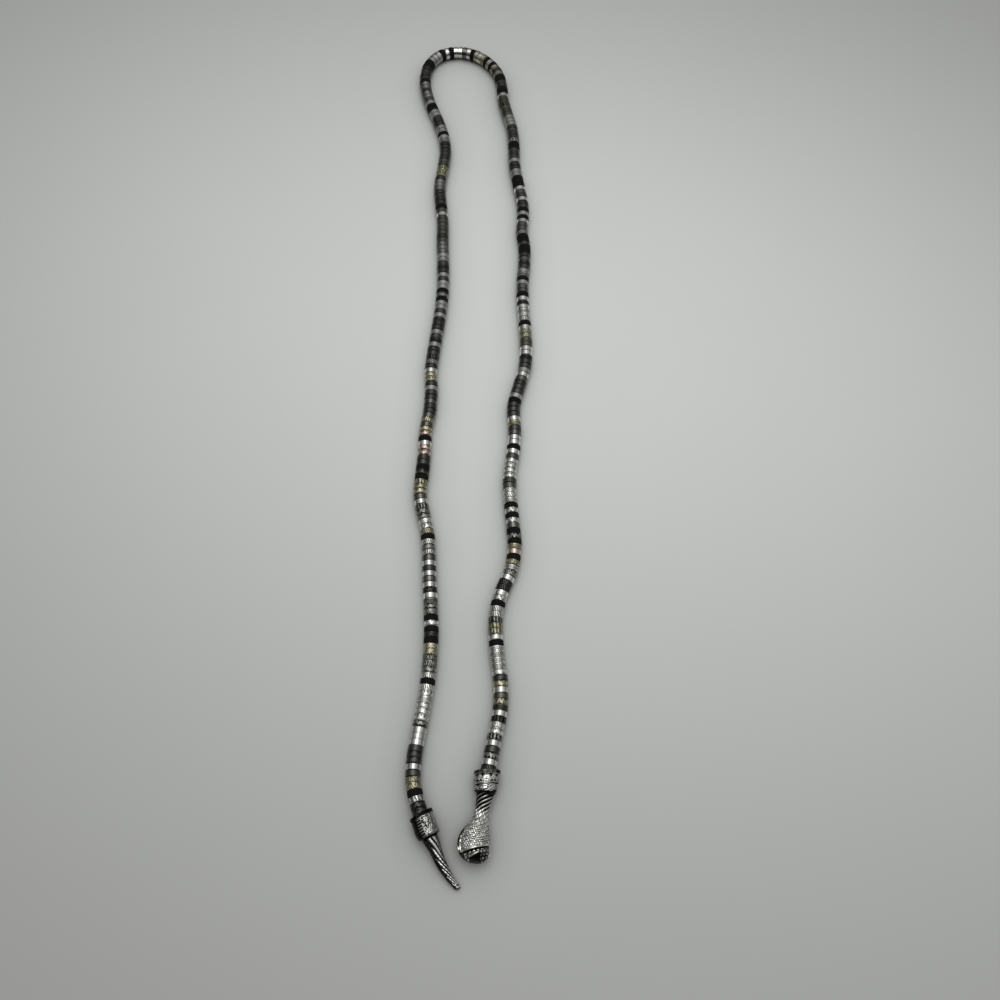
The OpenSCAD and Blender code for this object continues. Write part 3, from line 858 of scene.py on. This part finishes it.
def snout(part, scales, t, q, local, aboveMouth):
    # lips: a groove before the plate, a row of square scales, then beads
    front, lip, top = [pastLine(part[line], t, q) for line in ("frontLine", "lipLine", "noseLine")]
    crown = mound(local, part["crownHalf"], 0.2)
    squares = mound((q + 0.4) / 1.55 % 1 - 0.5, 0.22, 0.2)
    scales = scales - part["groove"] * mound(front - 0.5, 0.14, 0.25) * crown
    scales = scales - 0.4 * mound(lip, 0.45, 0.1) * (1 - mound(lip, 0.22, 0.2) * squares) * crown
    beyond = smoothStep(0.5, 0.7, lip) * crown
    # the nose is one smooth plate with a raised edge and two nostrils, made dark by painted shade
    nose = smoothStep(0.15, 0.4, top) * smoothStep(-1.6, -1.1, q) * (1 - smoothStep(2.3, 3.1, q))
    nose = nose * smoothStep(0.2, 0.6, aboveMouth)
    beads = scaleTiles((lip - 0.5) / part["beadRows"], (q - 0.3 * t) / part["beadColumns"], 2.6)
    scales = scales - 0.35 * beyond * (1 - 0.7 * nose) * (1 - beads)
    noseEdge = mound(top, 0.14, 0.18) * smoothStep(-1.4, -0.9, q) * (1 - smoothStep(2.0, 2.6, q))
    noseEdge = noseEdge * (aboveMouth > 0)
    scales = scales * (1 - noseEdge) + part["raised"] * noseEdge - 0.1 * nose
    for side in (-1, 1):
        across = q - part["nostrilSide"] - side * part["nostrilApart"]
        scales = scales - 0.3 * mound(np.hypot(across, (t - part["nostrilAt"]) * 1.5), 0.12, 0.25)
    # the closed mouth, round the front, over a plain chin
    chin = smoothStep(*part["chinFrom"], t) * smoothStep(0, 0.5, -aboveMouth)
    mouth = mound(aboveMouth, 0.16, 0.16) * smoothStep(16.5, 17.5, t)
    # painted shade darkens the nose, the chin and the snout's front past the lips, which face down and
    # forward
    clean = (1 - 0.9 * nose) * (1 - 0.6 * chin) * (1 - 0.35 * beyond * (1 - noseEdge))
    return scales * (1 - chin) - part["groove"] * mouth, clean


def addEyes(part, height, clean, t, r, local):
    # long domes in a dark ring
    across, along = part["eye"]
    for side in (-1, 1):
        turned = local - side * np.radians(part["eyeTurn"])
        away = np.hypot(turned * r / across, (t - part["eyeAt"]) / along)
        inside = away < 1
        ring = mound(away - 1.25, 0.1, 0.15) * ~inside
        dome = part["eyeHeight"] * np.sqrt(np.clip(1 - away**2, 0, 1))
        height = np.where(inside, dome, height - 0.25 * ring)
        clean = np.where(inside, 1, clean * (1 - ring))
    return height, clean


def headRelief(part, w, a, r):
    # how far each place stands off the plain casting, and how clean of oxide it is, with painted shade in
    # places:
    # w from the rim and t from the cup's end, q to the side, local round the skull, which is rolled a little
    t = w - part["cupLength"]
    q = r * np.sin(a)
    local = a - np.radians(part["roll"])
    rightFlank = smoothStep(np.radians(40), np.radians(70), a)
    leaned = w - part["lean"] * q * np.clip(w / part["cupLength"], 0, 1)
    height = np.zeros(t.shape)
    for band in (part["leafBand"], part["ovalBand"]):
        raised, inBand = bandStrokes(w, a, r, band, leaned)
        height -= band["depth"] * inBand * (1 - raised)
    ridges, scales = neckAndScales(part, t, a, rightFlank)
    scales = crownPlate(part, scales, t, q, r, local)
    scales, snoutPaintedShade = snout(part, scales, t, q, local, r * np.cos(local) + part["mouthDrop"])
    height += ridges + scales * smoothStep(0.3, 1.2, r)
    clean = smoothStep(-0.3, -0.06, height) * snoutPaintedShade
    # painted shade darkens the rim and the skull's left flank, and the turn under the cup is darker
    edge = (abs(local) - np.radians(part["panel"])) * r
    leftFlank = smoothStep(0.2, 0.6, edge) * smoothStep(10, 14, t) * (local < 0)
    clean = clean * (1 - 0.6 * (w < cups["lip"] + 0.2)) * (1 - 0.7 * leftFlank)
    clean = clean * (0.25 + 0.75 * smoothStep(0.35, np.where(t < 0, 0.75, 1.9), abs(t)))
    # the cup is duller overall, painted shade darkens its sides and underside, and painted shade darkens the
    # body's right flank
    clean = clean * np.where(t < 0, 0.76 - 0.28 * smoothStep(0.6, 1.1, abs(a)), 1 - 0.3 * rightFlank)
    return addEyes(part, height, clean, t, r, local)


snakeHead["bodyProfile"] = headProfile


# The tail

snakeTail = dict(
    rim=(-15.2, -193.2), cupRadius=4.65, cupLength=8.8, cupHeading=-68, bodyHeading=-58, rise=-3.7 / 21,
    lean=-0.13, slim=0.2, waist=4.9, columns=176, broad=1.0,
    # distance past the cup with the taper's radius, its cap, and how far its axis lies to the side
    body=[(0, 3.1), (0.5, 3.1), (3, 2.75), (6, 2.35), (10, 2.05), (14, 1.75), (19.5, 1.2)],
    end=[(19.7, 1.0), (20, 1.25), (20.6, 1.15), (21.1, 0.75), (21.12, 0.1)],
    aside=[(-2, 0), (0.5, 0.35), (3.5, 0.05), (6.7, -0.4), (9.7, -0.75), (12.7, -0.8), (15.7, -0.7),
           (18.7, -0.35), (21, 0.1)],
    # sectors of the cup's side in degrees, twice round it: ridges, a flower over leaves, then dots
    sectorAt=-95, ridgesTo=85, leafTo=137, lineAt=152, ridgeFrom=1.9, ridgePitch=1.02, ridgeDepth=0.3,
    leaf=dict(
        middle=4.95, reach=3.45, units=2, turn=-10, cell=13.6, width=0.24, slope=0.2, depth=0.21,
        strokes=[arc(1.95, -2.05, 0.4, 0.4, 0, 360), *fan(1.95, -2.05, 1.25, 20, 340, 10, 0.5),
                 arc(3.5, -0.6, 0.3, 0.4, -90, 180), arc(0.45, -0.6, 0.3, 0.35, 0, 250),
                 arc(1.95, -0.35, 0.45, 0.2, 0, 360), arc(3.7, -2.6, 0.25, 0.6, -90, 120),
                 arc(0.3, -2.9, 0.25, 0.45, 60, 270), *fan(1.8, 3.5, 3.3, 200, 340, 9, 0.45),
                 *fan(1.8, 3.5, 1.1, 195, 345, 5, 0.35), arc(3.7, 0.6, 0.2, 0.3, 0, 360),
                 arc(0.2, 0.7, 0.2, 0.3, 0, 360)]),
    lineHeight=0.25, stipple=0.62, stippleDepth=0.12,
    # the strands' twist in radians a mm, and the length and the number of steps in which it is added up
    strands=9, strandAt=-0.35, twist=(0.13, 0.22), ropeFrom=(5, 12), twistOver=21, twistSteps=210,
    depth=0.13, beat=1.3, capFrom=19.2,
)


def tailProfile(part):
    return finePath(np.vstack([spline(part["body"], 4), part["end"]]), casting["spacing"])


def cupSides(part, w, a, r):
    # three sectors, with narrow raised lines between them; their ornament keeps the rim's lean
    leaned = w - part["lean"] * r * np.sin(a) * np.clip(w / part["cupLength"], 0, 1)
    raised, inBand = bandStrokes(w, a, r, part["leaf"], leaned)
    turned = (np.degrees(a) - part["sectorAt"]) % 180
    borders = np.array([0, part["ridgesTo"], part["leafTo"], 180])
    fromBorder = abs(turned[..., None] - borders).min(-1) * np.radians(1) * r
    crest = (0.5 + 0.5 * np.cos(2 * np.pi * (leaned - part["ridgeFrom"]) / part["ridgePitch"]))**0.8
    ridges = part["ridgeDepth"] * (1 - crest) * (turned < part["ridgesTo"])
    leaf = part["leaf"]["depth"] * (1 - raised) * (turned >= part["ridgesTo"]) * (turned < part["leafTo"])
    line = part["lineHeight"] * mound((turned - part["lineAt"]) * np.radians(1) * r, 0.08, 0.15)
    dots = scaleTiles(leaned / part["stipple"], a * r / part["stipple"], 2)
    dots = part["stippleDepth"] * (1 - dots) * (turned > part["leafTo"])
    return -inBand * (ridges + leaf + line + dots) * smoothStep(0.0, 0.2, fromBorder)


def tailStrands(part, t, a, r, rope):
    # strands along the taper, which twist round each other more and more toward the tip
    place = np.linspace(0, part["twistOver"], part["twistSteps"] + 1)
    turns = np.cumsum(np.interp(place, part["ropeFrom"], part["twist"])) * place[1]
    strand = part["strands"] * (a - part["strandAt"] - np.interp(t, place, turns)) / (2 * np.pi)
    crest = (0.5 + 0.5 * np.cos(2 * np.pi * strand))**0.35
    # each strand swells and narrows along its length
    nearest = np.round(strand)
    beat = t / part["beat"] + 0.37 * nearest
    own = (0.4 + 0.6 * chanceOf(nearest % part["strands"], np.floor(beat))) * abs(2 * (beat % 1) - 1)**3
    onTaper = smoothStep(0, 1, t) * (1 - smoothStep(part["capFrom"], part["capFrom"] + 0.3, t))
    crest = crest * (1 - (0.15 + 0.45 * rope) * own)
    return -part["depth"] * (1 + 0.3 * rope) * r * onTaper * (1 - crest)


def tailRelief(part, w, a, r):
    # as on the head: how far each place stands off the plain casting, and how clean of oxide it is, with
    # painted shade in places
    t = w - part["cupLength"]
    rope = smoothStep(*part["ropeFrom"], t)
    height = cupSides(part, w, a, r) + tailStrands(part, t, a, r, rope)
    clean = smoothStep(np.where(t < 0, -0.28, -0.2), -0.05, height)
    # painted shade darkens its left side, its right side is evened to a mid grey as painted light and shade,
    # and the cup is duller overall
    onBody = smoothStep(0.35, 0.75, abs(t)) * (t > 0)
    left = smoothStep(0.35, 0.75, -a) * (1 - onBody) + smoothStep(0.1, 0.5, -a) * onBody
    right = smoothStep(0.4, 0.7, a) * (1 - rope)
    clean = clean * (1 - 0.75 * left) * np.where(t < 0, 0.6, 1)
    clean = clean + right * (0.42 - clean) * np.where(t < 0, 0.6, 0.85)
    # the rim, the turn under the cup, the groove before the cap and the very tip are dark
    clean = clean * (1 - 0.75 * (w < cups["lip"] + 0.2)) * smoothStep(0.15, np.where(t < 0, 0.4, 0.9), abs(t))
    clean = clean * (1 - 0.8 * mound(t - part["end"][0][0], 0.15, 0.15)) * (1 - smoothStep(20.6, 20.9, t))
    return height, clean


snakeTail["bodyProfile"] = tailProfile

castTriangles = [addCasting("snakeHead", "snake_head", snakeHead, headRelief),
                 addCasting("snakeTail", "snake_tail", snakeTail, tailRelief)]
print("the head and tail are made, with", castTriangles, "triangles")
